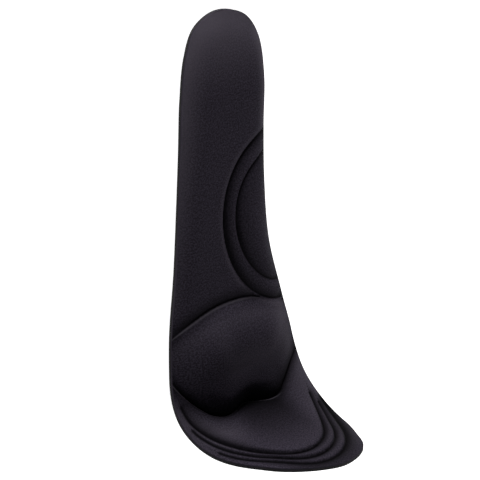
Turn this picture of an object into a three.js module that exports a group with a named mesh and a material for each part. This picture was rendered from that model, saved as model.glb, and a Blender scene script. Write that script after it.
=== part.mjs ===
// A moulded memory foam insole for the right foot, curled up at the ball as when it is flexed by hand.
//
// Plan points lie on the flat sole before it is curled: x runs to the outer (little toe) side, y from the
// back of the heel to the toes, and a height stands on the sole. curl() brings them into the part's frame:
// millimetres, +Z up, +Y to the toes, heel and waist flat on the floor, origin under the middle of the box.
import * as THREE from "three";

// Driving dimensions, in millimetres
const LENGTH = 280; // flat, from the heel's zero line to the toe tip
const RIM = 2.2; // pressed edge, foam, gap and cover together
const COVER = 1.0; // knitted top cover
const GAP = 0.3; // clearance between the cover and the foam
const SHOULDER = { rise: 3.2, reach: 16 }; // quick roll up from the rim
const CROWN = { rise: 1.2, reach: 30 }; // slow swell towards the middle
const HEEL_TAPER = 48; // how far in the heel's end grows to its full thickness
const TOE_THINNING = { share: 0.3, start: 150, end: 210 }; // the toes' share less of the heel's thickness
const CURL = { start: 184, radius: 44, angle: THREE.MathUtils.degToRad(85) };

// Reach of the flat outline to each side of the heel's centre line, a row for each section
const SECTIONS = [
  { along: 5, outer: 19.6, arch: 16.2 },
  { along: 18, outer: 26.8, arch: 26 },
  { along: 40, outer: 31.2, arch: 29.4 },
  { along: 66, outer: 33.8, arch: 27.6 },
  { along: 96, outer: 37.2, arch: 26.6 },
  { along: 128, outer: 41.2, arch: 28.4 },
  { along: 160, outer: 46.4, arch: 36.6 },
  { along: 188, outer: 48, arch: 44.2 },
  { along: 210, outer: 48.2, arch: 45.4 },
  { along: 230, outer: 42.8, arch: 44.8 },
  { along: 248, outer: 32, arch: 41 },
  { along: 263, outer: 22, arch: 34 },
  { along: 275, outer: 7, arch: 25.4 },
];
const HEEL_BACK = new THREE.Vector2(3.5, -0.8);
const TOE_TIP = new THREE.Vector2(-6.8, LENGTH);

// Arch support: two raised oval rings near the arch side's edge, turned in the plan
const RING_TURN = THREE.MathUtils.degToRad(40);
const ARCH_RINGS = [
  { centre: new THREE.Vector2(-37.5, 115.7), radii: new THREE.Vector2(44.1, 50.2), rise: 2.4, rounding: 14 },
  { centre: new THREE.Vector2(-33.6, 115.8), radii: new THREE.Vector2(32.5, 39.3), rise: 3, rounding: 18 },
];
const RING_EDGE = 24; // how far the rings take to rise from the rim

// Ball pad: a dome between a round back line and a two-lobed front line
const PAD_BACK = { nearest: new THREE.Vector2(12, 151.7), outerRadius: 70, archRadius: 98 };
const PAD_ROUND_FRONT = { centre: new THREE.Vector2(9, 162), radius: 60 };
const PAD_FRONT = [
  { across: 50, along: 181 },
  { across: 46.6, along: 187 },
  { across: 40.5, along: 196 },
  { across: 33.5, along: 204.8 },
  { across: 26.5, along: 211.2 },
  { across: 19.5, along: 213.6 },
  { across: 13, along: 212.8 },
  { across: 5, along: 210.8 },
  { across: -4, along: 213 },
  { across: -13, along: 215.2 },
  { across: -20.5, along: 214.6 },
  { across: -27, along: 210.2 },
  { across: -36, along: 202.6 },
  { across: -47, along: 193 },
];
const PAD = { rise: 9.2, backRounding: 26, frontRounding: 32, lip: 12, edgeRounding: 30 };

// Trim lines round the toes: one size's line, graded to the others, each ending where it nears the edge
const TRIM_LINE = [
  { across: 46, along: 204 },
  { across: 44, along: 214.5 },
  { across: 39.5, along: 224 },
  { across: 34.5, along: 231.8 },
  { across: 26, along: 242.6 },
  { across: 18.5, along: 252 },
  { across: 11.5, along: 260.3 },
  { across: 5.5, along: 264.6 },
  { across: -2, along: 266.5 },
  { across: -10, along: 265.4 },
  { across: -18, along: 261.6 },
  { across: -25, along: 255.6 },
  { across: -31, along: 247.5 },
  { across: -36.5, along: 237.6 },
  { across: -40, along: 229 },
  { across: -42.4, along: 221 },
];
const TRIM_LENGTH = 266.5; // from the heel's zero line to that line's foremost point
const SIZE_STEP = 6.67;
const GRADING_CENTRE = new THREE.Vector2(30, 0); // the point that all sizes share
const TRIM_SIZES = [
  { sizesUp: 1, outerEnd: 231, archEnd: 226 },
  { sizesUp: 0, outerEnd: 213, archEnd: 229 },
  { sizesUp: -1, outerEnd: 199, archEnd: 222 },
];
const TERRACE = { drop: 0.4, halfWidth: 1.2 }; // step of the toe border at each trim line
const TOES = { start: 200, full: 222 }; // where the terraces fade in

// Pressed grooves along the relief lines, with their widths inside and outside the ring, pad or panel
const GROOVES = {
  ring: { depth: 1.3, inner: 3, outer: 2 },
  padBack: { depth: 1.8, inner: 2.4, outer: 7 },
  padFront: { depth: 2.6, inner: 4, outer: 3 },
  trim: { depth: 1.8, inner: 1.6, outer: 5.6 },
};

// Spacing of the mesh points
const EDGE_STEP = 4.5;
const LINE_STEP = 3.3;
const FIELD_STEP = 6.6;
const SOLE_STEP = 10;
const SHOULDER_ROWS = [2.8, 6.8];
const CLEAR_OF_EDGE = 2.2;
const CLEAR_OF_POINT = 1.4;
const CLEAR_OF_GROOVE = 2;
const FAR_CORNER = 20; // lengths out to the corners of the triangle that starts the mesh
const FIELD_CLEARANCE = 0.55; // share of its step that a field point keeps from the others

const { clamp, smoothstep } = THREE.MathUtils;

// Rise of a soft edge: 0 at the line, 1 at full reach, where it levels out without a break
function swell(share) {
  const s = clamp(share, 0, 1);
  return (s * (15 - 10 * s ** 2 + 3 * s ** 4)) / 8;
}

// Rise of a steady slope that levels out at full reach
function slopeOff(share) {
  const s = clamp(share, 0, 1);
  return s * (2 - s);
}

// Rise of a full cushion edge, steep at the line, which levels out softly at full reach
function roundOver(share) {
  return 1 - (1 - clamp(share, 0, 1)) ** 3;
}

function smoothCurve(points, closed) {
  const flat = points.map((p) => new THREE.Vector3(p.x, p.y, 0));
  const curve = new THREE.CatmullRomCurve3(flat, closed, "centripetal");
  curve.arcLengthDivisions = 20 * points.length;
  return curve;
}

function sample(curve, step) {
  const count = Math.round(curve.getLength() / step);
  return curve.getSpacedPoints(count).map((p) => new THREE.Vector2(p.x, p.y));
}

function outlineCurve() {
  const outer = SECTIONS.map((s) => new THREE.Vector2(s.outer, s.along));
  const arch = SECTIONS.map((s) => new THREE.Vector2(-s.arch, s.along)).reverse();
  return smoothCurve([HEEL_BACK, ...outer, TOE_TIP, ...arch], true);
}

const outline = sample(outlineCurve(), EDGE_STEP).slice(0, -1);

function isInside(p) {
  let inside = false;
  outline.forEach((a, i) => {
    const b = outline[(i + 1) % outline.length];
    const crosses = a.y > p.y !== b.y > p.y;
    if (crosses && p.x < a.x + ((p.y - a.y) / (b.y - a.y)) * (b.x - a.x)) inside = !inside;
  });
  return inside;
}

// Distance from a plan point to a line of points, positive on the line's left, which is inside an outline
function distanceTo(line, p, closed = false) {
  const last = closed ? line.length : line.length - 1;
  let nearest = Infinity;
  for (let i = 0; i < last; i += 1) {
    const a = line[i];
    const along = line[(i + 1) % line.length].clone().sub(a);
    const reach = p.clone().sub(a);
    const share = clamp(reach.dot(along) / along.lengthSq(), 0, 1);
    const distance = reach.distanceTo(along.clone().multiplyScalar(share));
    if (distance < Math.abs(nearest)) nearest = along.cross(reach) < 0 ? -distance : distance;
  }
  return nearest;
}

function showsInside(p) {
  return distanceTo(outline, p, true) > CLEAR_OF_EDGE;
}

function insideCircle(p, circle) {
  return circle.radius - p.distanceTo(circle.centre);
}

// Radius of an oval ring in one direction from its centre
function ringRadius(ring, angle) {
  const turned = angle - RING_TURN;
  return 1 / Math.hypot(Math.cos(turned) / ring.radii.x, Math.sin(turned) / ring.radii.y);
}

function insideRing(p, ring) {
  const reach = p.clone().sub(ring.centre);
  return ringRadius(ring, reach.angle()) - reach.length();
}

// Points round a centre from one angle to another, at the radius that a function gives for each angle
function arcLine(centre, radiusAt, first, last) {
  const steps = Math.round(((last - first) * radiusAt(first)) / LINE_STEP);
  return Array.from({ length: steps + 1 }, (_, i) => {
    const angle = first + ((last - first) * i) / steps;
    const out = new THREE.Vector2(Math.cos(angle), Math.sin(angle));
    return out.multiplyScalar(radiusAt(angle)).add(centre);
  });
}

// The circle of the pad's back line on one side of its point nearest to the heel
function padBackCircle(radius) {
  return { centre: PAD_BACK.nearest.clone().add(new THREE.Vector2(0, radius)), radius };
}

const padBackOuter = padBackCircle(PAD_BACK.outerRadius);
const padBackArch = padBackCircle(PAD_BACK.archRadius);

function pastPadBack(p) {
  return insideCircle(p, p.x > PAD_BACK.nearest.x ? padBackOuter : padBackArch);
}

function padBackLine() {
  const archSide = arcLine(padBackArch.centre, () => PAD_BACK.archRadius, -Math.PI, -Math.PI / 2);
  const outerSide = arcLine(padBackOuter.centre, () => PAD_BACK.outerRadius, -Math.PI / 2, 0);
  const clearOfRings = (p) => insideRing(p, ARCH_RINGS[0]) < -GROOVES.ring.outer;
  const shown = (p) => showsInside(p) && clearOfRings(p);
  return [...archSide.slice(0, -1), ...outerSide].filter(shown);
}

// A smooth open line through the rows of a table
function planLine(rows) {
  const points = rows.map((row) => new THREE.Vector2(row.across, row.along));
  return sample(smoothCurve(points, false), LINE_STEP);
}

const padFront = planLine(PAD_FRONT);

// A size's trim line, graded about the point that all sizes share, between its ends
function trimLine(size) {
  const share = 1 + (size.sizesUp * SIZE_STEP) / TRIM_LENGTH;
  const grade = (p) => p.sub(GRADING_CENTRE).multiplyScalar(share).add(GRADING_CENTRE);
  const shown = (p) => showsInside(p) && p.y > (p.x > 0 ? size.outerEnd : size.archEnd);
  return planLine(TRIM_LINE).map(grade).filter(shown);
}

const trimLines = TRIM_SIZES.map(trimLine);

function ringLine(ring) {
  const radiusAt = (angle) => ringRadius(ring, angle);
  return arcLine(ring.centre, radiusAt, -Math.PI / 2, Math.PI / 2).filter(showsInside);
}

const grooves = [
  ...ARCH_RINGS.map((ring) => ({ points: ringLine(ring), ...GROOVES.ring })),
  { points: padBackLine(), ...GROOVES.padBack },
  { points: padFront.filter(showsInside), ...GROOVES.padFront },
  ...trimLines.map((points) => ({ points, ...GROOVES.trim })),
];

function grooveDepth(p) {
  const depths = grooves.map((line) => {
    const distance = distanceTo(line.points, p);
    const share = distance > 0 ? distance / line.inner : -distance / line.outer;
    return line.depth * (1 - clamp(share, 0, 1)) ** 2;
  });
  return Math.max(...depths);
}

function archRise(p, inward) {
  const rises = ARCH_RINGS.map((ring) => ring.rise * swell(insideRing(p, ring) / ring.rounding));
  return swell(inward / RING_EDGE) * rises.reduce((sum, rise) => sum + rise, 0);
}

function padRise(p, inward) {
  const back = swell(pastPadBack(p) / PAD.backRounding);
  const front = slopeOff(insideCircle(p, PAD_ROUND_FRONT) / PAD.frontRounding);
  const lip = roundOver(distanceTo(padFront, p) / PAD.lip);
  return PAD.rise * back * front * lip * swell(inward / PAD.edgeRounding);
}

function terraceDrop(p) {
  const half = TERRACE.halfWidth;
  const passed = trimLines.map((line) => smoothstep(-distanceTo(line, p), -half, half));
  const fade = smoothstep(p.y, TOES.start, TOES.full);
  return TERRACE.drop * fade * passed.reduce((sum, step) => sum + step, 0);
}

// Height of the cover's outer face above the sole
function topHeight(p) {
  const inward = distanceTo(outline, p, true);
  const thinning = 1 - TOE_THINNING.share * smoothstep(p.y, TOE_THINNING.start, TOE_THINNING.end);
  const base = thinning * swell(p.y / HEEL_TAPER) * SHOULDER.rise;
  const body = swell(inward / SHOULDER.reach) * (base - terraceDrop(p) - grooveDepth(p));
  const crown = thinning * CROWN.rise * swell(inward / CROWN.reach);
  return RIM + Math.max(body + crown + archRise(p, inward) + padRise(p, inward), 0);
}

// Rolls a flat plan point and its height round the ball: flat sole, then an arc, then straight toes
function curl(p, height) {
  const past = Math.max(p.y - CURL.start, 0);
  const angle = Math.min(past / CURL.radius, CURL.angle);
  const beyond = Math.max(past - CURL.radius * CURL.angle, 0);
  const inner = CURL.radius - height;
  const y = Math.min(p.y, CURL.start) + inner * Math.sin(angle) + beyond * Math.cos(CURL.angle);
  const z = CURL.radius - inner * Math.cos(angle) + beyond * Math.sin(CURL.angle);
  return new THREE.Vector3(p.x, y, z);
}

// A triangle with the circle through its corners
function triangle(points, a, b, c) {
  const [pa, pb, pc] = [points[a], points[b], points[c]];
  const [la, lb, lc] = [pa.lengthSq(), pb.lengthSq(), pc.lengthSq()];
  const twice = 2 * (pa.x * (pb.y - pc.y) + pb.x * (pc.y - pa.y) + pc.x * (pa.y - pb.y));
  const centre = new THREE.Vector2(
    (la * (pb.y - pc.y) + lb * (pc.y - pa.y) + lc * (pa.y - pb.y)) / twice,
    (la * (pc.x - pb.x) + lb * (pa.x - pc.x) + lc * (pb.x - pa.x)) / twice,
  );
  return { corners: [a, b, c], centre, radiusSq: centre.distanceToSquared(pa) };
}

// Delaunay triangles of the plan points, by adding one point at a time, without those outside the outline
function triangulate(planPoints) {
  const far = FAR_CORNER * LENGTH;
  const corners = [[-far, -far], [far, -far], [0, far]].map(([x, y]) => new THREE.Vector2(x, y));
  const points = [...planPoints, ...corners];
  const count = planPoints.length;
  let triangles = [triangle(points, count, count + 1, count + 2)];
  planPoints.forEach((p, index) => {
    const open = new Map();
    triangles = triangles.filter((t) => {
      if (p.distanceToSquared(t.centre) >= t.radiusSq) return true;
      t.corners.forEach((a, i) => {
        const b = t.corners[(i + 1) % 3];
        if (!open.delete(`${b} ${a}`)) open.set(`${a} ${b}`, [a, b]);
      });
      return false;
    });
    open.forEach(([a, b]) => triangles.push(triangle(points, a, b, index)));
  });
  const middle = (t) => t.corners.reduce((sum, i) => sum.add(points[i]), new THREE.Vector2()).divideScalar(3);
  const kept = triangles.filter((t) => t.corners.every((i) => i < count) && isInside(middle(t)));
  return kept.map((t) => t.corners);
}

// Both lips of a groove, where no other groove is too near for them
function grooveLips(line) {
  const others = grooves.filter((other) => other !== line);
  const roomFor = (p) => others.every((other) => Math.abs(distanceTo(other.points, p)) > CLEAR_OF_GROOVE);
  return [line.inner, -line.outer].map((offset) => {
    const lip = line.points.map((p, i) => {
      const before = line.points[Math.max(i - 1, 0)];
      const after = line.points[Math.min(i + 1, line.points.length - 1)];
      const along = after.clone().sub(before).normalize();
      return new THREE.Vector2(-along.y, along.x).multiplyScalar(offset).add(p);
    });
    return lip.filter(roomFor);
  });
}

function shoulderRow(inset) {
  return outline.map((p, i) => {
    const before = outline[(i + outline.length - 1) % outline.length];
    const after = outline[(i + 1) % outline.length];
    const along = after.clone().sub(before).normalize();
    return new THREE.Vector2(-along.y, along.x).multiplyScalar(inset).add(p);
  });
}

// A staggered field of points over the whole plan
function fieldPoints(step) {
  const rowStep = (step * Math.sqrt(3)) / 2;
  const reach = Math.max(...SECTIONS.map((s) => Math.max(s.outer, s.arch))) + step;
  const points = [];
  for (let row = 0; row * rowStep < LENGTH; row += 1) {
    const shift = row % 2 ? step / 2 : 0;
    for (let x = -reach; x < reach; x += step) points.push(new THREE.Vector2(x + shift, row * rowStep));
  }
  return points;
}

// The outline first, then every other point that lies inside and clear of those before it
function planMesh(rows, step) {
  const points = [...outline];
  const add = (p, clearance) => {
    if (showsInside(p) && points.every((other) => other.distanceTo(p) > clearance)) points.push(p);
  };
  rows.flat().forEach((p) => add(p, CLEAR_OF_POINT));
  fieldPoints(step).forEach((p) => add(p, step * FIELD_CLEARANCE));
  return { points, triangles: triangulate(points) };
}

const grooveRows = [...grooves.map((line) => line.points), ...grooves.flatMap(grooveLips)];
const fineMesh = planMesh([...grooveRows, ...SHOULDER_ROWS.map(shoulderRow)], FIELD_STEP);
const soleMesh = planMesh([], SOLE_STEP);

// A closed solid between two curled faces, each over its own mesh of the same outline
function layer(name, colour, roughness, upper, lower) {
  const top = upper.mesh.points.map((p, i) => curl(p, upper.heights[i]));
  const bottom = lower.mesh.points.map((p, i) => curl(p, lower.heights[i]));
  const under = (i) => i + top.length;
  const faces = [
    ...upper.mesh.triangles,
    ...lower.mesh.triangles.map(([a, b, c]) => [under(c), under(b), under(a)]),
    ...outline.flatMap((_, i) => {
      const next = (i + 1) % outline.length;
      return [[i, under(i), next], [next, under(i), under(next)]];
    }),
  ];
  const geometry = new THREE.BufferGeometry().setFromPoints([...top, ...bottom]);
  geometry.setIndex(faces.flat());
  geometry.computeVertexNormals();
  const material = new THREE.MeshStandardMaterial({ color: colour, roughness, metalness: 0 });
  const mesh = new THREE.Mesh(geometry, material);
  mesh.name = name;
  return mesh;
}

const tops = fineMesh.points.map(topHeight);
const coverTop = { mesh: fineMesh, heights: tops };
const coverUnder = { mesh: fineMesh, heights: tops.map((height) => height - COVER) };
const foamTop = { mesh: fineMesh, heights: tops.map((height) => height - COVER - GAP) };
const sole = { mesh: soleMesh, heights: soleMesh.points.map(() => 0) };

const insole = new THREE.Group();
const pieces = new THREE.Group();
pieces.add(layer("top_cover", 0x211e24, 0.9, coverTop, coverUnder));
pieces.add(layer("foam_body", 0x19181b, 0.95, foamTop, sole));
const box = new THREE.Box3().setFromObject(pieces);
const middle = box.getCenter(new THREE.Vector3());
pieces.position.set(-middle.x, -middle.y, -box.min.z);
insole.add(pieces);

export default insole;
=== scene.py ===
"""A moulded memory foam insole with a knitted cover, curled up at the ball, on a plain pale stage.

Plan points lie on the flat sole before it is curled: x runs to the outer (little toe) side, y from the back
of the heel to the toes. A height stands on the sole. curl() brings both into the frame.
"""

import math
from functools import partial

import bpy
import numpy as np
from bpy.props import FloatProperty, FloatVectorProperty, IntProperty, PointerProperty
from mathutils import Matrix, Vector, noise


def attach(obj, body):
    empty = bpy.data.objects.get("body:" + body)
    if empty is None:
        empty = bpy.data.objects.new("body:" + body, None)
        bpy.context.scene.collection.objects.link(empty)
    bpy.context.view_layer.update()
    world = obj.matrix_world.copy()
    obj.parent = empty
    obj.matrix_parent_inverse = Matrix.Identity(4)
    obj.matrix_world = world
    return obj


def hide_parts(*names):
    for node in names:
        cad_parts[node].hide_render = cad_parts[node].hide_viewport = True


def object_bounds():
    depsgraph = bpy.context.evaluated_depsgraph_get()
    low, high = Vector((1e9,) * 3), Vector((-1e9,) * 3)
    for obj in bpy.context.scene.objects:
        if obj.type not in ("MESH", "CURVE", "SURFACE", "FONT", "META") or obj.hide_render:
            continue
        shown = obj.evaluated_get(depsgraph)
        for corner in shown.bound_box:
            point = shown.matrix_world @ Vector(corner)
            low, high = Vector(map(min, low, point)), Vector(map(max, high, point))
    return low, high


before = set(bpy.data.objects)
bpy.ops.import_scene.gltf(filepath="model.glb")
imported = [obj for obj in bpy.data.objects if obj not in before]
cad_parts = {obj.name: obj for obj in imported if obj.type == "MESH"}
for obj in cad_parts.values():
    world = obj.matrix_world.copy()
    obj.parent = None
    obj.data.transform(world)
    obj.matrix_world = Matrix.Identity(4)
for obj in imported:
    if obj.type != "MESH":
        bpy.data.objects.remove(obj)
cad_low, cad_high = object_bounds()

bl_info = {
    "name": "Memory foam insole",
    "version": (1, 0, 0),
    "blender": (4, 5, 0),
    "location": "3D View > Sidebar > Insole",
    "description": "Builds a moulded foam insole with a knitted cover, and a stage to show it on",
    "category": "Add Mesh",
}

MM = 0.001

# Reach of the flat outline to each side of the heel's centre line, in millimetres
SECTIONS = (
    {"along": 5, "outer": 19.6, "arch": 16.2},
    {"along": 18, "outer": 26.8, "arch": 26},
    {"along": 40, "outer": 31.2, "arch": 29.4},
    {"along": 66, "outer": 33.8, "arch": 27.6},
    {"along": 96, "outer": 37.2, "arch": 26.6},
    {"along": 128, "outer": 41.2, "arch": 28.4},
    {"along": 160, "outer": 46.4, "arch": 36.6},
    {"along": 188, "outer": 48, "arch": 44.2},
    {"along": 210, "outer": 48.2, "arch": 45.4},
    {"along": 230, "outer": 42.8, "arch": 44.8},
    {"along": 248, "outer": 32, "arch": 41},
    {"along": 263, "outer": 22, "arch": 34},
    {"along": 275, "outer": 7, "arch": 25.4},
)
HEEL_BACK = {"across": 3.5, "along": -0.8}
TOE_TIP = {"across": -6.8, "along": 280}

# Arch support: two raised oval rings near the arch side's edge, turned in the plan
RING_TURN = math.radians(40)
ARCH_RINGS = (
    {"across": -37.5, "along": 115.7, "short": 44.1, "long": 50.2, "rise": 2.4, "rounding": 14},
    {"across": -33.6, "along": 115.8, "short": 32.5, "long": 39.3, "rise": 3.0, "rounding": 18},
)

# Ball pad: a dome between a round back line and a two-lobed front line
PAD_BACK = {"across": 12, "along": 151.7, "outer_radius": 70, "arch_radius": 98}
PAD_ROUND_FRONT = {"across": 9, "along": 162, "radius": 60}
PAD_FRONT = (
    {"across": 50, "along": 181},
    {"across": 46.6, "along": 187},
    {"across": 40.5, "along": 196},
    {"across": 33.5, "along": 204.8},
    {"across": 26.5, "along": 211.2},
    {"across": 19.5, "along": 213.6},
    {"across": 13, "along": 212.8},
    {"across": 5, "along": 210.8},
    {"across": -4, "along": 213},
    {"across": -13, "along": 215.2},
    {"across": -20.5, "along": 214.6},
    {"across": -27, "along": 210.2},
    {"across": -36, "along": 202.6},
    {"across": -47, "along": 193},
)

# Trim lines round the toes: one size's line, graded to the others, each ending where it nears the edge
TRIM_LINE = (
    {"across": 46, "along": 204},
    {"across": 44, "along": 214.5},
    {"across": 39.5, "along": 224},
    {"across": 34.5, "along": 231.8},
    {"across": 26, "along": 242.6},
    {"across": 18.5, "along": 252},
    {"across": 11.5, "along": 260.3},
    {"across": 5.5, "along": 264.6},
    {"across": -2, "along": 266.5},
    {"across": -10, "along": 265.4},
    {"across": -18, "along": 261.6},
    {"across": -25, "along": 255.6},
    {"across": -31, "along": 247.5},
    {"across": -36.5, "along": 237.6},
    {"across": -40, "along": 229},
    {"across": -42.4, "along": 221},
)
TRIM_LENGTH = 266.5
SIZE_STEP = 6.67
GRADING_CENTRE = np.array((30, 0)) * MM
TRIM_SIZES = (
    {"sizes_up": 1, "outer_end": 231, "arch_end": 226},
    {"sizes_up": 0, "outer_end": 213, "arch_end": 229},
    {"sizes_up": -1, "outer_end": 199, "arch_end": 222},
)
TERRACE_HALF = 1.2 * MM  # half the width of the step at a trim line
TOES_START = 200 * MM
TOES_FULL = 222 * MM
THINNING_START = 150 * MM
THINNING_END = 210 * MM

# Pressed grooves along the lines, with their widths inside and outside the ring, pad or panel
GROOVE_WIDTHS = {
    "ring": {"inner": 3 * MM, "outer": 2 * MM},
    "pad_back": {"inner": 2.4 * MM, "outer": 7 * MM},
    "pad_front": {"inner": 4 * MM, "outer": 3 * MM},
    "trim": {"inner": 1.6 * MM, "outer": 5.6 * MM},
}
RING_CLEARANCE = 1 * MM  # from the outer ring to the end of the pad's back line
OUT_OF_REACH = 20 * MM  # added to a distance where its line doesn't run

# Slow waves of the soft foam's surface
WAVES = (
    {"length": 26 * MM, "share": 1.0, "seed": 1.7},
    {"length": 9 * MM, "share": 0.5, "seed": 5.2},
)

# Stretches of the rim along which light is painted on the knit, in millimetres along the foot. Past the place
# where a stretch starts to narrow, it loses a share of each millimetre further along.
PAINTED_LIGHT_RIMS = (
    {"name": "outer_rim", "side": 1, "start": 0, "end": 150, "narrows_from": 50, "share": 0.1},
    {"name": "arch_rim", "side": -1, "start": 15, "end": 66, "narrows_from": 50, "share": 0},
    {"name": "toe_rim", "side": -1, "start": 196, "end": 262, "narrows_from": 196, "share": 0},
)

# Painted light and shade of the knit along its lines, laid from bottom to top, in millimetres: how far each
# reaches inside and outside its lines, which may be shifted inwards, and how strong it is. A pair of values
# is the arch side's and the outer side's, with a soft change over a stretch across the foot.
OUTER_HALF = (8, 32)
ARCH_EDGE = (-30, -8)
SHADE_COLUMNS = ("lines", "shift", "inside", "outside", "colour", "strength", "stretch")
ALL_TRIMS = ("trim_0", "trim_1", "trim_2")
KNIT_PAINTED_LIGHT_AND_SHADE = (
    # Painted light on the rims, the heel's end, the pad, the toe panel and the lips of the ring and the pad's
    # back line
    (("outer_rim",), 0, 15, 1, "cover_stretched", 0.5, OUTER_HALF),
    (("arch_rim",), 0, 9, 1, "cover_stretched", 0.7, OUTER_HALF),
    (("pad_front",), 29, 14, 22, "cover_stretched", (0.22, 0), OUTER_HALF),
    (("heel",), 0, 45, 1, "cover_stretched", 0.65, OUTER_HALF),
    (("toe_rim",), 0, 26, 1, "cover_stretched", 0.36, OUTER_HALF),
    (("pad_front",), -12, 12, 18, "cover_stretched", (0, 0.3), OUTER_HALF),
    (("ring_0",), -2.2, 2.2, 3, "cover_stretched", 0.2, OUTER_HALF),
    (("pad_back",), 7, 12, 6, "cover_stretched", (0.12, 0.1), OUTER_HALF),
    # Painted shade along the rings, the pad's lines and the trim lines, and on slopes that face away from the
    # light
    (("ring_0",), 0, 7, 0.9, "cover_pressed", 0.97, OUTER_HALF),
    (("ring_1",), 0, 14, 0.9, "cover_pressed", 0.5, OUTER_HALF),
    (("ring_1",), 0, 2.4, 0.9, "cover_pressed", 0.95, OUTER_HALF),
    (("pad_back",), 0, (2.5, 5), 9, "cover_pressed", 0.85, OUTER_HALF),
    (("pad_front",), 0, (12, 4), (6, 7), "cover_pressed", 0.95, OUTER_HALF),
    (("trim_0",), 0, (1.2, 2), (16, 2), "cover_pressed", (0.9, 0.8), OUTER_HALF),
    (("trim_1",), 0, (1.2, 2), (7, 2), "cover_pressed", 0.8, OUTER_HALF),
    (("trim_2",), 0, (1.2, 8), (7, 1.6), "cover_pressed", (0.8, 0.75), OUTER_HALF),
    (ALL_TRIMS, 0, (1.4, 1.2), (3.4, 1.6), "cover_pressed", (0.95, 0.9), OUTER_HALF),
    (ALL_TRIMS, 0, 2.6, 4, "cover_pressed", (0.6, 0), ARCH_EDGE),
    (("trim_0",), 0, 3.5, 8, "cover_pressed", (0.65, 0), ARCH_EDGE),
)

# Painted shadow of the ball pad on the knit in the hollow before it, between two fades that drift across the
# foot, in millimetres
PAD_SHADOW = {"inside": 1, "outside": 50, "strength": 0.95, "drift": 0.2}
PAD_SHADOW_FADES = (
    {"sides": (0, 1), "stretch": (-28, -12)},
    {"sides": (1, 0), "stretch": (4, 24)},
)

# Pressed seam round the pad, whose colour carries a painted highlight, in millimetres
PAD_SEAMS = ({"line": "pad_back", "shift": 0.7}, {"line": "pad_front", "shift": -0.8})
SEAM_WIDTH = 0.8
SEAM_FADE = (-24, -12)

# Speckles and pores to a metre in each finish, and the shape of its tones and small relief
SPECKLE = {
    "knit": {"Fine": 2400.0, "Broad": 1100.0},
    "foam": {"Fine": 2200.0, "Broad": 800.0},
    "cut_edge": {"Fine": 3000.0, "Broad": 500.0},
}
FOAM_PORES = 1300.0
FOAM_MOTTLE = {"from": 0.32, "contrast": 2.6, "in_pores": 0.6}
STITCH_SLANT = 1.1
LEG_ROUNDING = 0.5
YARN_SOFTNESS = 0.6
YARN_CONTRAST = 0.7
KNIT_ROUGHNESS = 0.85
SEAM_HEIGHT = 3.0  # in stitches
SEAM_SHEEN = 0.3
LINE_SOFTNESS = 1.6
SMOOTH_ANGLE = math.radians(65)

# Studio, in metres and watts
LIGHTS = (
    {"name": "heel_light", "place": (0.08, -1.5, 0.18), "size": 0.6, "power": 32},
    {"name": "toe_light", "place": (-0.57, 1.12, 0.82), "size": 1.1, "power": 18},
    {"name": "arch_light", "place": (-1.43, 0, 0.45), "size": 0.6, "power": 1.5},
)
LIGHT_TARGET = Vector((0, 0, 0.02))
SKY_STRENGTH = 0.04
FLOOR_SIZE = 12
FLOOR_DROP = 0.05 * MM
FLOOR_GLOW = 0.9
SENSOR_WIDTH = 36
CAMERA_REACH = 30

# Where the rows of the mesh run round the ends of the sole's middle line
HEEL_CENTRE = 34 * MM
TOE_CENTRE = 232 * MM
SIDE_STATIONS = 226
TOE_STATIONS = 140
HEEL_STATIONS = 104
RIM_GRADING = 1.3
BLANK_THICKNESS = 1 * MM
MERGE_REACH = 0.002 * MM


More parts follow.
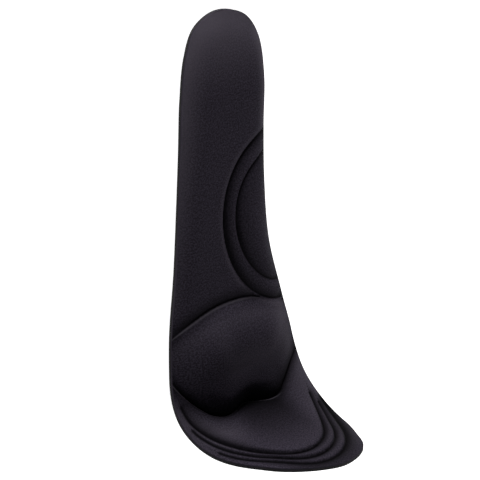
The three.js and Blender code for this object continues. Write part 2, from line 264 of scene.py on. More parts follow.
class InsoleSizes(bpy.types.PropertyGroup):
    """Thicknesses and relief of the moulding"""

    rim: FloatProperty(
        name="Rim", description="Thickness of the pressed edge, foam and cover together",
        default=2.2 * MM, unit="LENGTH", precision=5)
    cover: FloatProperty(
        name="Cover", description="Thickness of the knitted cover",
        default=0.8 * MM, unit="LENGTH", precision=5)
    gap: FloatProperty(
        name="Glue line", description="Clearance between the cover and the foam",
        default=0.1 * MM, unit="LENGTH", precision=5)
    shoulder_rise: FloatProperty(
        name="Shoulder rise", description="Quick roll up from the rim",
        default=3.2 * MM, unit="LENGTH", precision=5)
    shoulder_reach: FloatProperty(
        name="Shoulder reach", description="How far in the quick roll goes",
        default=16 * MM, unit="LENGTH", precision=5)
    heel_taper: FloatProperty(
        name="Heel taper", description="How far in the heel's end grows to its full thickness",
        default=48 * MM, unit="LENGTH", precision=5)
    crown_rise: FloatProperty(
        name="Crown rise", description="Slow swell towards the middle",
        default=1.2 * MM, unit="LENGTH", precision=5)
    crown_reach: FloatProperty(
        name="Crown reach", description="How far in the slow swell goes",
        default=30 * MM, unit="LENGTH", precision=5)
    toe_thinning: FloatProperty(
        name="Toe thinning", description="Share of the heel's thickness that the toes go without",
        default=0.3, subtype="FACTOR", min=0, max=1)
    ring_edge: FloatProperty(
        name="Ring edge rounding", description="How far the arch rings take to rise from the rim",
        default=24 * MM, unit="LENGTH", precision=5)
    pad_rise: FloatProperty(
        name="Pad rise", description="Height of the ball pad's dome",
        default=9.2 * MM, unit="LENGTH", precision=5)
    pad_back: FloatProperty(
        name="Pad back rounding", description="How far the dome takes to rise from its back line",
        default=26 * MM, unit="LENGTH", precision=5)
    pad_front: FloatProperty(
        name="Pad front rounding", description="How far the dome takes to rise from its round front",
        default=32 * MM, unit="LENGTH", precision=5)
    pad_lip: FloatProperty(
        name="Pad lip", description="How far the dome rounds over at its two-lobed front line",
        default=12 * MM, unit="LENGTH", precision=5)
    pad_edge: FloatProperty(
        name="Pad edge rounding", description="How far the dome takes to rise from the rim",
        default=30 * MM, unit="LENGTH", precision=5)
    terrace: FloatProperty(
        name="Terrace", description="Drop of the toe border at each trim line",
        default=0.4 * MM, unit="LENGTH", precision=5)
    ring_groove: FloatProperty(
        name="Ring groove", description="Depth of the grooves round the arch rings",
        default=1.3 * MM, unit="LENGTH", precision=5)
    pad_groove: FloatProperty(
        name="Pad groove", description="Depth of the grooves round the ball pad",
        default=1.8 * MM, unit="LENGTH", precision=5)
    front_crease: FloatProperty(
        name="Front crease", description="Depth of the crease before the ball pad",
        default=2.6 * MM, unit="LENGTH", precision=5)
    trim_groove: FloatProperty(
        name="Trim groove", description="Depth of the trim lines",
        default=1.8 * MM, unit="LENGTH", precision=5)
    curl_start: FloatProperty(
        name="Curl start", description="Flat length before the curl at the ball",
        default=184 * MM, unit="LENGTH", precision=5)
    curl_radius: FloatProperty(
        name="Curl radius", description="Radius of the sole's curl at the ball",
        default=44 * MM, unit="LENGTH", precision=5)
    curl_angle: FloatProperty(
        name="Curl angle", description="How far the toes are turned up",
        default=math.radians(85), subtype="ANGLE")
    unevenness: FloatProperty(
        name="Unevenness", description="Slow waviness of the soft foam",
        default=0.04 * MM, unit="LENGTH", precision=5)
    cover_rings: IntProperty(
        name="Cover rows", description="Rows of the cover's mesh from the middle to the rim", default=66)
    foam_rings: IntProperty(
        name="Foam rows", description="Rows of the foam's mesh from the middle to the rim", default=40)


class InsoleFinish(bpy.types.PropertyGroup):
    """Colours and textures of the two materials"""

    cover_dark: FloatVectorProperty(
        name="Knit shade", description="Colour down between the cover's yarns",
        default=(0.0142, 0.0119, 0.0172), size=3, subtype="COLOR", min=0, max=1)
    cover_light: FloatVectorProperty(
        name="Knit", description="Colour of the cover's yarns",
        default=(0.0375, 0.0317, 0.0452), size=3, subtype="COLOR", min=0, max=1)
    # Painted shade: the darkest knit colour, laid along the grooves, on slopes that face away from the light
    # and in the pad's shadow
    cover_pressed: FloatVectorProperty(
        name="Knit with painted shade", description="Colour of the cover where shade is painted on it",
        default=(0.0012, 0.001, 0.0014), size=3, subtype="COLOR", min=0, max=1)
    # Painted light: a lighter knit colour laid on the rims, the heel's end, the pad's slopes and the lips
    # that face the light
    cover_stretched: FloatVectorProperty(
        name="Knit with painted light", description="Colour of the cover where light is painted on it",
        default=(0.1, 0.088, 0.11), size=3, subtype="COLOR", min=0, max=1)
    # Pressed seam round the pad, its colour lighter than the knit as a painted highlight
    cover_seam_highlight: FloatVectorProperty(
        name="Pad seam with painted highlight", description="Colour of the pressed seam round the ball pad",
        default=(0.045, 0.04, 0.05), size=3, subtype="COLOR", min=0, max=1)
    foam_dark: FloatVectorProperty(
        name="Foam shade", description="Colour down in the foam's pores",
        default=(0.006, 0.006, 0.0065), size=3, subtype="COLOR", min=0, max=1)
    foam_light: FloatVectorProperty(
        name="Foam", description="Colour of the foam's skin",
        default=(0.02, 0.019, 0.021), size=3, subtype="COLOR", min=0, max=1)
    heather: FloatProperty(
        name="Heather", description="How much the yarn's shade varies from place to place", default=10.0)
    stitch_width: FloatProperty(
        name="Stitch width", description="Width of one column of the knit",
        default=0.85 * MM, unit="LENGTH", precision=5)
    stitch_height: FloatProperty(
        name="Stitch height", description="Height of one row of the knit",
        default=0.65 * MM, unit="LENGTH", precision=5)


class InsoleStage(bpy.types.PropertyGroup):
    """Camera and floor"""

    azimuth: FloatProperty(
        name="Azimuth", description="Camera's turn round the insole from behind the heel",
        default=math.radians(63.6), subtype="ANGLE")
    elevation: FloatProperty(
        name="Elevation", description="Camera's height over the floor, as an angle",
        default=math.radians(40.13), subtype="ANGLE")
    roll: FloatProperty(
        name="Roll", description="Camera's turn about its own line of sight",
        default=math.radians(-105.47), subtype="ANGLE")
    distance: FloatProperty(
        name="Distance", description="From the camera to its target",
        default=1.447, unit="LENGTH")
    lens: FloatProperty(
        name="Lens", description="Focal length on a 36 mm sensor, in millimetres", default=213.2)
    target_across: FloatProperty(
        name="Target across", description="Camera's target in plan, to the outer side",
        default=2.17 * MM, unit="LENGTH", precision=5)
    target_along: FloatProperty(
        name="Target along", description="Camera's target in plan, from the back of the heel",
        default=118.83 * MM, unit="LENGTH", precision=5)
    target_height: FloatProperty(
        name="Target height", description="Camera's target over the floor",
        default=10.3 * MM, unit="LENGTH", precision=5)
    floor_colour: FloatVectorProperty(
        name="Floor", description="Colour of the floor",
        default=(0.86, 0.86, 0.86), size=3, subtype="COLOR", min=0, max=1)


# Plan curves


def smooth_curve(points, closed, per_span=12):
    """Points along a smooth curve through the given ones (centripetal Catmull-Rom)."""
    points = np.asarray(points, float)
    if closed:
        padded = np.vstack([points[-1:], points, points[:2]])
    else:
        padded = np.vstack([2 * points[0] - points[1], points, 2 * points[-1] - points[-2]])
    share = np.linspace(0, 1, per_span, endpoint=False)[:, None]
    spans = []
    for before, start, end, after in zip(padded, padded[1:], padded[2:], padded[3:]):
        gaps = [math.sqrt(np.linalg.norm(b - a)) for a, b in ((before, start), (start, end), (end, after))]
        leave = (start - before) / gaps[0] - (end - before) / (gaps[0] + gaps[1]) + (end - start) / gaps[1]
        arrive = (end - start) / gaps[1] - (after - start) / (gaps[1] + gaps[2]) + (after - end) / gaps[2]
        leave, arrive = leave * gaps[1], arrive * gaps[1]
        square = -3 * start + 3 * end - 2 * leave - arrive
        cube = 2 * start - 2 * end + leave + arrive
        spans.append(start + leave * share + square * share**2 + cube * share**3)
    return np.vstack(spans + ([] if closed else [points[-1:]]))


def outline():
    """The flat outline, from the back of the heel round by the outer side."""
    outer = [(row["outer"] * MM, row["along"] * MM) for row in SECTIONS]
    arch = [(-row["arch"] * MM, row["along"] * MM) for row in reversed(SECTIONS)]
    heel, toe = ((end["across"] * MM, end["along"] * MM) for end in (HEEL_BACK, TOE_TIP))
    return smooth_curve([heel, *outer, toe, *arch], closed=True)


def close_loop(points):
    return np.vstack([points, points[:1]])


def plan_line(rows):
    """A smooth open line through the rows of a table."""
    return smooth_curve([(row["across"] * MM, row["along"] * MM) for row in rows], closed=False)


def trim_line(size):
    """A size's trim line, graded about a point beside the heel, between its ends."""
    share = 1 + size["sizes_up"] * SIZE_STEP / TRIM_LENGTH
    points = GRADING_CENTRE + (plan_line(TRIM_LINE) - GRADING_CENTRE) * share
    ends = np.where(points[:, 0] > 0, size["outer_end"], size["arch_end"]) * MM
    return points[points[:, 1] > ends]


def signed_distance(plan, line):
    """Distance of plan points to a line, positive on its left, which is inside an outline."""
    nearest = np.full(len(plan), np.inf)
    left = np.ones(len(plan), bool)
    for start, end in zip(line[:-1], line[1:]):
        along, reach = end - start, plan - start
        share = np.clip(reach @ along / (along @ along), 0, 1)
        gap = np.hypot(*(reach - share[:, None] * along).T)
        closer = gap < nearest
        nearest[closer] = gap[closer]
        left[closer] = (along[0] * reach[:, 1] - along[1] * reach[:, 0])[closer] >= 0
    return np.where(left, nearest, -nearest)


# Relief


def swell(share):
    """Rise of a soft edge: 0 at the line, 1 at full reach, where it levels out without a break."""
    share = np.clip(share, 0, 1)
    return share * (15 - 10 * share**2 + 3 * share**4) / 8


def slope_off(share):
    """Rise of a steady slope that levels out at full reach."""
    share = np.clip(share, 0, 1)
    return share * (2 - share)


def round_over(share):
    """Rise of a full cushion edge, steep at the line, which levels out softly at full reach."""
    return 1 - (1 - np.clip(share, 0, 1)) ** 3


def smooth_step(value, low, high):
    share = np.clip((value - low) / (high - low), 0, 1)
    return share * share * (3 - 2 * share)


def crease(distance, inner, outer):
    """A pressed line: 1 in its sharp bottom, 0 past its rounded lips, with its own width on each side."""
    share = np.where(distance > 0, distance / inner, -distance / outer)
    return (1 - np.clip(share, 0, 1)) ** 2


def wavy(plan, length, seed):
    """Slow unevenness from -1 to 1."""
    return np.array([noise.noise((x / length, y / length, seed)) for x, y in plan])


def inside_circle(plan, circle):
    """How far plan points lie inside a circle of the plan."""
    centre = np.array((circle["across"], circle["along"])) * MM
    return circle["radius"] * MM - np.hypot(*(plan - centre).T)


def inside_ring(plan, ring):
    """How far plan points lie inside an oval ring, towards its centre."""
    reach = plan - np.array((ring["across"], ring["along"])) * MM
    turned = np.arctan2(reach[:, 1], reach[:, 0]) - RING_TURN
    radius = MM / np.hypot(np.cos(turned) / ring["short"], np.sin(turned) / ring["long"])
    return radius - np.hypot(*reach.T)


def past_pad_back(plan):
    """How far plan points lie past the pad's back line, two arcs that meet nearest to the heel."""
    across, along = PAD_BACK["across"], PAD_BACK["along"]
    sides = [
        inside_circle(plan, {"across": across, "along": along + radius, "radius": radius})
        for radius in (PAD_BACK["outer_radius"], PAD_BACK["arch_radius"])
    ]
    return np.where(plan[:, 0] > across * MM, *sides)


def relief_lines(plan):
    """Distances of plan points to the pressed lines, positive inside the ring, pad or panel of each."""
    in_rings = [inside_ring(plan, ring) for ring in ARCH_RINGS]
    past_back = past_pad_back(plan)
    in_ring = in_rings[0] > -RING_CLEARANCE
    past_back = past_back + np.where(in_ring, np.copysign(OUT_OF_REACH, past_back), 0)
    behind_front = signed_distance(plan, plan_line(PAD_FRONT))
    in_trims = [signed_distance(plan, trim_line(size)) for size in TRIM_SIZES]
    return in_rings, past_back, behind_front, in_trims


def top_heights(plan, sizes):
    """Height of the cover's outer face over the sole at each plan point."""
    inward = signed_distance(plan, close_loop(outline()))
    in_rings, past_back, behind_front, in_trims = relief_lines(plan)
    shoulder = swell(inward / sizes.shoulder_reach)
    taper = swell(plan[:, 1] / sizes.heel_taper)
    thinning = 1 - sizes.toe_thinning * smooth_step(plan[:, 1], THINNING_START, THINNING_END)

    rings = swell(inward / sizes.ring_edge) * sum(
        ring["rise"] * MM * swell(inside / (ring["rounding"] * MM))
        for ring, inside in zip(ARCH_RINGS, in_rings)
    )
    dome = swell(past_pad_back(plan) / sizes.pad_back)
    dome *= slope_off(inside_circle(plan, PAD_ROUND_FRONT) / sizes.pad_front)
    edges = swell(inward / sizes.pad_edge) * round_over(behind_front / sizes.pad_lip)
    pad = dome * edges * sizes.pad_rise
    toes = smooth_step(plan[:, 1], TOES_START, TOES_FULL)
    steps = sum(smooth_step(-inside, -TERRACE_HALF, TERRACE_HALF) for inside in in_trims)

    grooves = [crease(inside, **GROOVE_WIDTHS["ring"]) * sizes.ring_groove for inside in in_rings]
    grooves.append(crease(past_back, **GROOVE_WIDTHS["pad_back"]) * sizes.pad_groove)
    grooves.append(crease(behind_front, **GROOVE_WIDTHS["pad_front"]) * sizes.front_crease)
    grooves.extend(crease(inside, **GROOVE_WIDTHS["trim"]) * sizes.trim_groove for inside in in_trims)
    pressed = np.max(grooves, axis=0)

    soft = sum(wave["share"] * wavy(plan, wave["length"], wave["seed"]) for wave in WAVES)
    relieved = thinning * taper * sizes.shoulder_rise - steps * toes * sizes.terrace - pressed
    crown = thinning * sizes.crown_rise * swell(inward / sizes.crown_reach)
    body = shoulder * (relieved + soft * sizes.unevenness) + crown
    return sizes.rim + np.maximum(body + rings + pad, 0)


def curl(plan, heights, sizes):
    """Rolls plan points and their heights round the ball: flat sole, then an arc, then straight toes."""
    past = np.maximum(plan[:, 1] - sizes.curl_start, 0)
    angle = np.minimum(past / sizes.curl_radius, sizes.curl_angle)
    beyond = np.maximum(past - sizes.curl_radius * sizes.curl_angle, 0)
    inner = sizes.curl_radius - heights
    flat = np.minimum(plan[:, 1], sizes.curl_start)
    y = flat + inner * np.sin(angle) + beyond * math.cos(sizes.curl_angle)
    z = sizes.curl_radius - inner * np.cos(angle) + beyond * math.sin(sizes.curl_angle)
    return np.column_stack([plan[:, 0], y, z]) + plan_origin()


def plan_origin():
    """Where the back of the heel on the sole lies in the frame."""
    low, high = outline().min(axis=0), outline().max(axis=0)
    return np.array((-(low[0] + high[0]) / 2, cad_low.y - low[1], 0))


# Mesh helpers


def deselect():
    bpy.ops.object.select_all(action="DESELECT")


def coordinates(mesh):
    flat = np.empty(len(mesh.vertices) * 3)
    mesh.vertices.foreach_get("co", flat)
    return flat.reshape(-1, 3)


def set_coordinates(mesh, points):
    mesh.vertices.foreach_set("co", np.ascontiguousarray(points, np.float32).ravel())
    mesh.update()


def end_stations(edge, centre, first, last, count):
    """Rim points round one end of the sole, at even angles about a centre."""
    reach = edge - centre
    angles = np.mod(np.arctan2(reach[:, 1], reach[:, 0]), 2 * np.pi)
    order = np.argsort(angles)
    turn = np.linspace(first, last, count + 2)[1:-1]
    radius = np.interp(turn, angles[order], np.hypot(*reach.T)[order], period=2 * np.pi)
    return centre + radius[:, None] * np.column_stack([np.cos(turn), np.sin(turn)])


def rim_and_spine():
    """Matching points round the rim and on the sole's middle line, a pair for each station."""
    edge = outline()
    tip = int(edge[:, 1].argmax())
    outer, arch = edge[: tip + 1], close_loop(edge)[tip:][::-1]
    along = np.linspace(HEEL_CENTRE, TOE_CENTRE, SIDE_STATIONS)
    outer_side = np.column_stack([np.interp(along, outer[:, 1], outer[:, 0]), along])
    arch_side = np.column_stack([np.interp(along, arch[:, 1], arch[:, 0]), along])
    middle = (outer_side + arch_side) / 2
    toes = end_stations(edge, middle[-1], 0, np.pi, TOE_STATIONS)
    heel = end_stations(edge, middle[0], np.pi, 2 * np.pi, HEEL_STATIONS)
    rim = np.vstack([outer_side, toes, arch_side[::-1], heel])
    toe_centre = np.repeat(middle[-1:], TOE_STATIONS, axis=0)
    heel_centre = np.repeat(middle[:1], HEEL_STATIONS, axis=0)
    return rim, np.vstack([middle, toe_centre, middle[::-1], heel_centre])


def wrapped_blank(name, rings):
    """A flat blank of the outline: a grid wrapped round the sole's middle line and closed on itself."""
    rim, spine = rim_and_spine()
    deselect()
    bpy.ops.mesh.primitive_grid_add(x_subdivisions=len(rim), y_subdivisions=rings, size=1)
    blank = bpy.context.object
    blank.name = blank.data.name = name
    grid = coordinates(blank.data) + 0.5
    station = np.rint(grid[:, 0] * len(rim)).astype(int) % len(rim)
    reach = 1 - np.clip(grid[:, 1], 0, 1) ** RIM_GRADING
    plan = spine[station] + (rim[station] - spine[station]) * reach[:, None]
    set_coordinates(blank.data, np.column_stack([plan, np.zeros(len(plan))]))
    bpy.ops.object.mode_set(mode="EDIT")
    bpy.ops.mesh.select_all(action="SELECT")
    bpy.ops.mesh.remove_doubles(threshold=MERGE_REACH)
    bpy.ops.object.mode_set(mode="OBJECT")
    lay_out(blank.data)
    return blank


def lay_out(mesh):
    """Gives a flat blank a UV map of its plan, in metres."""
    corners = np.empty(len(mesh.loops), int)
    mesh.loops.foreach_get("vertex_index", corners)
    plan = coordinates(mesh)[corners, :2]
    mesh.uv_layers.active.data.foreach_set("uv", plan.astype(np.float32).ravel())


def thicken(blank, rim_slot):
    """Gives a blank its under face and edge, and returns the plan of its upper face."""
    plan = coordinates(blank.data)[:, :2]
    solidify = blank.modifiers.new("Thickness", "SOLIDIFY")
    solidify.thickness = BLANK_THICKNESS
    solidify.offset = -1
    solidify.material_offset_rim = rim_slot
    bpy.ops.object.modifier_apply(modifier=solidify.name)
    return plan


def lines_for_shades(plan):
    """Distances of plan points to every line that the cover's painted light and shade follow."""
    in_rings, past_back, behind_front, in_trims = relief_lines(plan)
    lines = {"pad_back": past_back, "pad_front": behind_front, "heel": plan[:, 1]}
    lines.update((f"ring_{i}", inside) for i, inside in enumerate(in_rings))
    lines.update((f"trim_{i}", inside) for i, inside in enumerate(in_trims))
    edge = outline()
    along = edge[:, 1] / MM
    sides = np.where(np.arange(len(edge)) < along.argmax(), 1, -1)
    for rim in PAINTED_LIGHT_RIMS:
        stretch = edge[(sides == rim["side"]) & (along > rim["start"]) & (along < rim["end"])]
        narrowing = rim["share"] * np.maximum(plan[:, 1] - rim["narrows_from"] * MM, 0)
        lines[rim["name"]] = np.abs(signed_distance(plan, stretch)) + narrowing
    return lines


def mark_lines(piece, plan):
    """Stores the distances to the lines of the painted light and shade on both faces of a thickened blank, in
    millimetres.
    """
    for name, distances in lines_for_shades(plan).items():
        marks = piece.data.attributes.new(name, "FLOAT", "POINT")
        both_faces = np.tile(distances / MM, 2)
        marks.data.foreach_set("value", both_faces.astype(np.float32))


def press(piece, plan, upper, lower, sizes):
    """Moves the upper and under faces of a thickened blank to their heights and curls it."""
    set_coordinates(piece.data, np.vstack([curl(plan, upper, sizes), curl(plan, lower, sizes)]))


def finish_piece(piece, node):
    """Smooth shading, and the piece's place in the frame."""
    deselect()
    piece.select_set(True)
    bpy.context.view_layer.objects.active = piece
    bpy.ops.object.shade_smooth_by_angle(angle=SMOOTH_ANGLE)
    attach(piece, "root")
    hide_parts(node)


# Materials


def add_node(tree, kind, **settings):
    node = tree.nodes.new(kind)
    for key, value in settings.items():
        setattr(node, key, value)
    return node


def math_node(tree, operation, first, second=None):
    """A Math node whose inputs are numbers or sockets."""
    node = add_node(tree, "ShaderNodeMath", operation=operation)
    for socket, value in zip(node.inputs, (first, second)):
        if value is None:
            continue
        if isinstance(value, (int, float)):
            socket.default_value = value
        else:
            tree.links.new(value, socket)
    return node.outputs[0]


def new_group(name, inputs, outputs):
    """A shader node group with named sockets, and its two end nodes."""
    group = bpy.data.node_groups.new(name, "ShaderNodeTree")
    for label, kind in inputs:
        group.interface.new_socket(label, in_out="INPUT", socket_type=kind)
    for label, kind in outputs:
        group.interface.new_socket(label, in_out="OUTPUT", socket_type=kind)
    return group, group.nodes.new("NodeGroupInput"), group.nodes.new("NodeGroupOutput")


def knit_group():
    """Columns of V stitches over a flat plan: their height, and a mask of the yarns."""
    group, given, out = new_group(
        "fine_knit",
        [("Plan", "NodeSocketVector"), ("Width", "NodeSocketFloat"), ("Height", "NodeSocketFloat")],
        [("Relief", "NodeSocketFloat"), ("Yarn", "NodeSocketFloat")],
    )
    split = add_node(group, "ShaderNodeSeparateXYZ")
    group.links.new(given.outputs["Plan"], split.inputs[0])
    calc = partial(math_node, group)
    column = calc("DIVIDE", split.outputs["X"], given.outputs["Width"])
    row = calc("DIVIDE", split.outputs["Y"], given.outputs["Height"])
    from_middle = calc("ABSOLUTE", calc("SUBTRACT", calc("FRACT", column), 0.5))
    leg = calc("SUBTRACT", calc("MULTIPLY", from_middle, 4.0), 1.0)
    slanted = calc("ADD", row, calc("MULTIPLY", from_middle, STITCH_SLANT))
    stitch = calc("SUBTRACT", calc("MULTIPLY", calc("FRACT", slanted), 2.0), 1.0)
    leg_round, stitch_round = (calc("SUBTRACT", 1.0, calc("MULTIPLY", part, part)) for part in (leg, stitch))
    relief = calc("MULTIPLY", calc("POWER", leg_round, LEG_ROUNDING), stitch_round)
    group.links.new(relief, out.inputs["Relief"])
    group.links.new(calc("POWER", relief, YARN_SOFTNESS), out.inputs["Yarn"])
    return group


def speckle_group():
    """Fine cloudy variation over a surface, around 0.5."""
    group, given, out = new_group(
        "speckle",
        [("Plan", "NodeSocketVector"), ("Fine", "NodeSocketFloat"), ("Broad", "NodeSocketFloat")],
        [("Value", "NodeSocketFloat")],
    )
    values = []
    for name, detail in (("Fine", 3.0), ("Broad", 4.0)):
        cloud = add_node(group, "ShaderNodeTexNoise")
        cloud.inputs["Detail"].default_value = detail
        group.links.new(given.outputs["Plan"], cloud.inputs["Vector"])
        group.links.new(given.outputs[name], cloud.inputs["Scale"])
        values.append(cloud.outputs["Fac"])
    half = math_node(group, "MULTIPLY", math_node(group, "ADD", *values), 0.5)
    group.links.new(half, out.inputs["Value"])
    return group


def line_group():
    """A soft-edged line: 1 where the distance to it is 0, with its own width on its inner and outer side."""
    group, given, out = new_group(
        "soft_line",
        [("Distance", "NodeSocketFloat"), ("Inner", "NodeSocketFloat"), ("Outer", "NodeSocketFloat")],
        [("Mask", "NodeSocketFloat")],
    )
    calc = partial(math_node, group)
    inward = calc("DIVIDE", given.outputs["Distance"], given.outputs["Inner"])
    outward = calc("DIVIDE", given.outputs["Distance"], given.outputs["Outer"])
    share = calc("MAXIMUM", inward, calc("MULTIPLY", outward, -1.0))
    near = calc("MAXIMUM", calc("SUBTRACT", 1.0, share), 0.0)
    group.links.new(calc("POWER", near, LINE_SOFTNESS), out.inputs["Mask"])
    return group


def shared_groups():
    """The node groups that the materials share, built once."""
    makers = {"fine_knit": knit_group, "speckle": speckle_group, "soft_line": line_group}
    return {name: bpy.data.node_groups.get(name) or make() for name, make in makers.items()}


def line_mask(tree, group, distances, inner, outer):
    """A mask of the lines whose distances come in, with widths that are numbers or sockets."""
    mask = 0.0
    for distance in distances:
        line = add_node(tree, "ShaderNodeGroup", node_tree=group)
        tree.links.new(distance, line.inputs["Distance"])
        for name, width in (("Inner", inner), ("Outer", outer)):
            if isinstance(width, bpy.types.NodeSocket):
                tree.links.new(width, line.inputs[name])
            else:
                line.inputs[name].default_value = width
        mask = math_node(tree, "MAXIMUM", line.outputs["Mask"], mask)
    return mask


def across_foot(tree, across, value, stretch):
    """A number as it is, or a pair as a soft change from arch to outer side over a stretch of the foot."""
    if isinstance(value, (int, float)):
        return value
    change = add_node(tree, "ShaderNodeMapRange", interpolation_type="SMOOTHSTEP")
    tree.links.new(across, change.inputs["Value"])
    for name, number in zip(("From Min", "From Max", "To Min", "To Max"), (*stretch, *value)):
        change.inputs[name].default_value = number
    return change.outputs["Result"]


def line_distance(tree, name):
    """The distance to a line, in millimetres, that the cover's mesh holds."""
    return add_node(tree, "ShaderNodeAttribute", attribute_name=name).outputs["Fac"]


def new_material(name):
    material = bpy.data.materials.new(name)
    material.use_nodes = True
    tree = material.node_tree
    return material, tree, tree.nodes["Principled BSDF"]


def place_group(tree, group, vector, **values):
    node = add_node(tree, "ShaderNodeGroup", node_tree=group)
    tree.links.new(vector, node.inputs["Plan"])
    for key, value in values.items():
        node.inputs[key].default_value = value
    return node


def mix_colours(tree, factor, first, second):
    """A mix of two colours, of which the first may come from another node."""
    mix = add_node(tree, "ShaderNodeMix", data_type="RGBA")
    start, end = (socket for socket in mix.inputs if socket.type == "RGBA")
    if isinstance(first, bpy.types.NodeSocket):
        tree.links.new(first, start)
    else:
        start.default_value = (*first, 1)
    end.default_value = (*second, 1)
    tree.links.new(factor, mix.inputs[0])
    return next(socket for socket in mix.outputs if socket.type == "RGBA")


def add_bump(tree, shader, height, strength, depth):
    bump = add_node(tree, "ShaderNodeBump")
    bump.inputs["Strength"].default_value = strength
    bump.inputs["Distance"].default_value = depth
    tree.links.new(height, bump.inputs["Height"])
    tree.links.new(bump.outputs["Normal"], shader.inputs["Normal"])


def paint_light_and_shade(tree, soft_line, across, colour, finish):
    """Paints light and shade into a colour along the lines of the shade table."""
    for row in KNIT_PAINTED_LIGHT_AND_SHADE:
        shade = dict(zip(SHADE_COLUMNS, row))
        values = (shade[column] for column in ("inside", "outside", "strength"))
        inside, outside, strength = (across_foot(tree, across, value, shade["stretch"]) for value in values)
        stored = [line_distance(tree, name) for name in shade["lines"]]
        distances = [math_node(tree, "SUBTRACT", distance, shade["shift"]) for distance in stored]
        lines = line_mask(tree, soft_line, distances, inside, outside)
        mask = math_node(tree, "MULTIPLY", lines, strength)
        colour = mix_colours(tree, mask, colour, getattr(finish, shade["colour"]))
    return colour


def painted_pad_shadow(tree, soft_line, across):
    """A mask of the painted shadow of the ball pad in the hollow before it, in the middle of the foot."""
    calc = partial(math_node, tree)
    behind_front = line_distance(tree, "pad_front")
    drifted = calc("SUBTRACT", across, calc("MULTIPLY", behind_front, PAD_SHADOW["drift"]))
    hollow = line_mask(tree, soft_line, [behind_front], PAD_SHADOW["inside"], PAD_SHADOW["outside"])
    mask = calc("MULTIPLY", hollow, PAD_SHADOW["strength"])
    for fade in PAD_SHADOW_FADES:
        mask = calc("MULTIPLY", mask, across_foot(tree, drifted, fade["sides"], fade["stretch"]))
    return mask


def pad_seam(tree, soft_line, across):
    """A mask of the pressed seam round the ball pad, which fades out towards the arch side."""
    distances = [
        math_node(tree, "SUBTRACT", line_distance(tree, seam["line"]), seam["shift"])
        for seam in PAD_SEAMS
    ]
    mask = line_mask(tree, soft_line, distances, SEAM_WIDTH, SEAM_WIDTH)
    return math_node(tree, "MULTIPLY", mask, across_foot(tree, across, (0, 1), SEAM_FADE))


def knit_material(finish, groups):
    """Black heathered knit, with painted light on its rims and slopes, painted shade along its grooves and in
    the pad's shadow, and a pressed seam at the pad with a painted highlight.
    """
    material, tree, shader = new_material("black_knit")
    calc = partial(math_node, tree)
    plan = add_node(tree, "ShaderNodeUVMap", uv_map="UVMap").outputs["UV"]
    size = {"Width": finish.stitch_width, "Height": finish.stitch_height}
    stitches = place_group(tree, groups["fine_knit"], plan, **size)
    cloud = place_group(tree, groups["speckle"], plan, **SPECKLE["knit"])
    heather = calc("MULTIPLY", calc("SUBTRACT", cloud.outputs["Value"], 0.5), finish.heather)
    yarn = calc("ADD", calc("MULTIPLY", stitches.outputs["Yarn"], YARN_CONTRAST), heather)
    colour = mix_colours(tree, yarn, finish.cover_dark, finish.cover_light)

    split = add_node(tree, "ShaderNodeSeparateXYZ")
    tree.links.new(plan, split.inputs[0])
    across = calc("DIVIDE", split.outputs["X"], MM)
    soft_line = groups["soft_line"]
    colour = paint_light_and_shade(tree, soft_line, across, colour, finish)
    colour = mix_colours(tree, painted_pad_shadow(tree, soft_line, across), colour, finish.cover_pressed)
    # The seam's lighter colour is a painted highlight; its bump and lower roughness give the real pressed
    # seam
    seam = pad_seam(tree, soft_line, across)
    tree.links.new(mix_colours(tree, seam, colour, finish.cover_seam_highlight), shader.inputs["Base Color"])

    height = calc("ADD", stitches.outputs["Relief"], calc("MULTIPLY", seam, SEAM_HEIGHT))
    add_bump(tree, shader, height, strength=0.6, depth=0.12 * MM)
    roughness = calc("SUBTRACT", KNIT_ROUGHNESS, calc("MULTIPLY", seam, SEAM_SHEEN))
    tree.links.new(roughness, shader.inputs["Roughness"])
    shader.inputs["Specular IOR Level"].default_value = 0.03
    return material


def foam_material(finish, groups):
    """Black moulded foam with fine pores."""
    material, tree, shader = new_material("black_foam")
    calc = partial(math_node, tree)
    place = add_node(tree, "ShaderNodeTexCoord").outputs["Object"]
    cloud = place_group(tree, groups["speckle"], place, **SPECKLE["foam"])
    pores = add_node(tree, "ShaderNodeTexVoronoi")
    pores.inputs["Scale"].default_value = FOAM_PORES
    tree.links.new(place, pores.inputs["Vector"])
    above = calc("SUBTRACT", cloud.outputs["Value"], FOAM_MOTTLE["from"])
    mottle = calc("MULTIPLY", above, FOAM_MOTTLE["contrast"])
    skin = calc("MULTIPLY", mottle, calc("ADD", pores.outputs["Distance"], FOAM_MOTTLE["in_pores"]))
    colour = mix_colours(tree, skin, finish.foam_dark, finish.foam_light)
    tree.links.new(colour, shader.inputs["Base Color"])
    add_bump(tree, shader, pores.outputs["Distance"], strength=0.5, depth=0.15 * MM)
    shader.inputs["Roughness"].default_value = 0.85
    shader.inputs["Specular IOR Level"].default_value = 0.25
    return material


def cut_edge_material(finish, groups):
    """The cover's cut edge: loose yarn ends."""
    material, tree, shader = new_material("cut_knit_edge")
    place = add_node(tree, "ShaderNodeTexCoord").outputs["Object"]
    cloud = place_group(tree, groups["speckle"], place, **SPECKLE["cut_edge"])
    colour = mix_colours(tree, cloud.outputs["Value"], finish.cover_dark, finish.cover_light)
    tree.links.new(colour, shader.inputs["Base Color"])
    shader.inputs["Roughness"].default_value = 0.9
    shader.inputs["Specular IOR Level"].default_value = 0.1
    return material


# Operators


class INSOLE_OT_foam_body(bpy.types.Operator):
    """Build the moulded foam under the cover"""

    bl_idname = "insole.foam_body"
    bl_label = "Foam body"

    def execute(self, context):
        sizes, finish = context.scene.insole_sizes, context.scene.insole_finish
        foam = wrapped_blank("moulded_foam", sizes.foam_rings)
        plan = thicken(foam, 0)
        upper = top_heights(plan, sizes) - sizes.cover - sizes.gap
        press(foam, plan, upper, np.zeros(len(plan)), sizes)
        foam.data.materials.append(foam_material(finish, shared_groups()))
        finish_piece(foam, "foam_body")
        return {"FINISHED"}


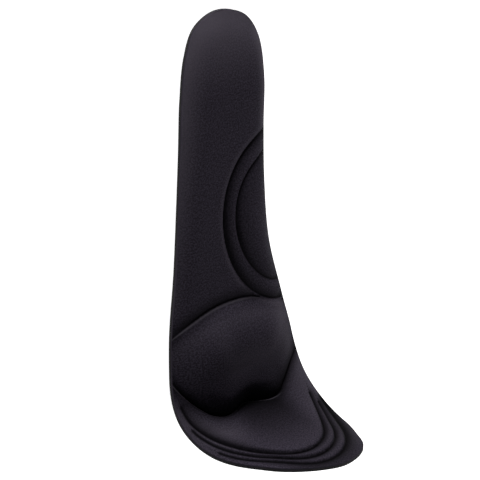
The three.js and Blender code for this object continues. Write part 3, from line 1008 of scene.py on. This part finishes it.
class INSOLE_OT_top_cover(bpy.types.Operator):
    """Build the knitted cover over the foam"""

    bl_idname = "insole.top_cover"
    bl_label = "Top cover"

    def execute(self, context):
        sizes, finish = context.scene.insole_sizes, context.scene.insole_finish
        groups = shared_groups()
        cover = wrapped_blank("knitted_cover", sizes.cover_rings)
        cover.data.materials.append(knit_material(finish, groups))
        cover.data.materials.append(cut_edge_material(finish, groups))
        plan = thicken(cover, 1)
        mark_lines(cover, plan)
        upper = top_heights(plan, sizes)
        press(cover, plan, upper, upper - sizes.cover, sizes)
        finish_piece(cover, "top_cover")
        return {"FINISHED"}


class INSOLE_OT_stage(bpy.types.Operator):
    """Set up the floor, the lights and the camera"""

    bl_idname = "insole.stage"
    bl_label = "Stage"

    def execute(self, context):
        stage = context.scene.insole_stage
        lay_floor(stage)
        hang_lights(context.scene)
        set_camera(context.scene, stage)
        context.scene.view_settings.view_transform = "Standard"
        return {"FINISHED"}


def lay_floor(stage):
    deselect()
    bpy.ops.mesh.primitive_plane_add(size=FLOOR_SIZE, location=(0, 0, -FLOOR_DROP))
    floor = bpy.context.object
    floor.name = "pale_floor"
    bpy.ops.object.transform_apply(location=True, rotation=True, scale=True)
    material, _, shader = new_material("pale_floor")
    shader.inputs["Base Color"].default_value = (*stage.floor_colour, 1)
    shader.inputs["Roughness"].default_value = 0.9
    shader.inputs["Emission Color"].default_value = (1, 1, 1, 1)
    shader.inputs["Emission Strength"].default_value = FLOOR_GLOW
    floor.data.materials.append(material)


def area_light(name, place, size, power):
    data = bpy.data.lights.new(name, "AREA")
    data.shape = "DISK"
    data.size = size
    data.energy = power
    lamp = bpy.data.objects.new(name, data)
    lamp.location = place
    lamp.rotation_euler = (LIGHT_TARGET - Vector(place)).to_track_quat("-Z", "Y").to_euler()
    bpy.context.scene.collection.objects.link(lamp)


def hang_lights(scene):
    for light in LIGHTS:
        area_light(**light)
    scene.world = scene.world or bpy.data.worlds.new("Studio")
    scene.world.use_nodes = True
    background = scene.world.node_tree.nodes["Background"]
    background.inputs["Color"].default_value = (1, 1, 1, 1)
    background.inputs["Strength"].default_value = SKY_STRENGTH


def set_camera(scene, stage):
    """A long lens that looks at the insole as the photograph does, turned about its line of sight."""
    turn, rise = stage.azimuth, stage.elevation
    back = Vector((math.sin(turn) * math.cos(rise), -math.cos(turn) * math.cos(rise), math.sin(rise)))
    level = Vector((math.cos(turn), math.sin(turn), 0))
    upward = back.cross(level)
    right = level * math.cos(stage.roll) - upward * math.sin(stage.roll)
    up = level * math.sin(stage.roll) + upward * math.cos(stage.roll)
    target = Vector((stage.target_across, stage.target_along, stage.target_height)) + Vector(plan_origin())
    data = bpy.data.cameras.new("camera")
    data.lens = stage.lens
    data.sensor_width = SENSOR_WIDTH
    data.clip_end = CAMERA_REACH
    camera = bpy.data.objects.new("camera", data)
    axes = Matrix((right, up, back)).transposed()
    camera.matrix_world = Matrix.Translation(target + back * stage.distance) @ axes.to_4x4()
    scene.collection.objects.link(camera)
    scene.camera = camera


class INSOLE_PT_panel(bpy.types.Panel):
    """Lists the steps that build the insole"""

    bl_idname = "INSOLE_PT_panel"
    bl_label = "Insole"
    bl_space_type = "VIEW_3D"
    bl_region_type = "UI"
    bl_category = "Insole"

    def draw(self, context):
        for operator in OPERATORS:
            self.layout.operator(operator.bl_idname)


OPERATORS = (INSOLE_OT_foam_body, INSOLE_OT_top_cover, INSOLE_OT_stage)
SETTINGS = {"insole_sizes": InsoleSizes, "insole_finish": InsoleFinish, "insole_stage": InsoleStage}
CLASSES = (*SETTINGS.values(), *OPERATORS, INSOLE_PT_panel)


def register():
    for cls in CLASSES:
        bpy.utils.register_class(cls)
    for name, settings in SETTINGS.items():
        setattr(bpy.types.Scene, name, PointerProperty(type=settings))


def unregister():
    for name in SETTINGS:
        delattr(bpy.types.Scene, name)
    for cls in reversed(CLASSES):
        bpy.utils.unregister_class(cls)


def main():
    register()
    bpy.ops.insole.foam_body()
    bpy.ops.insole.top_cover()
    bpy.ops.insole.stage()


if __name__ == "__main__":
    main()
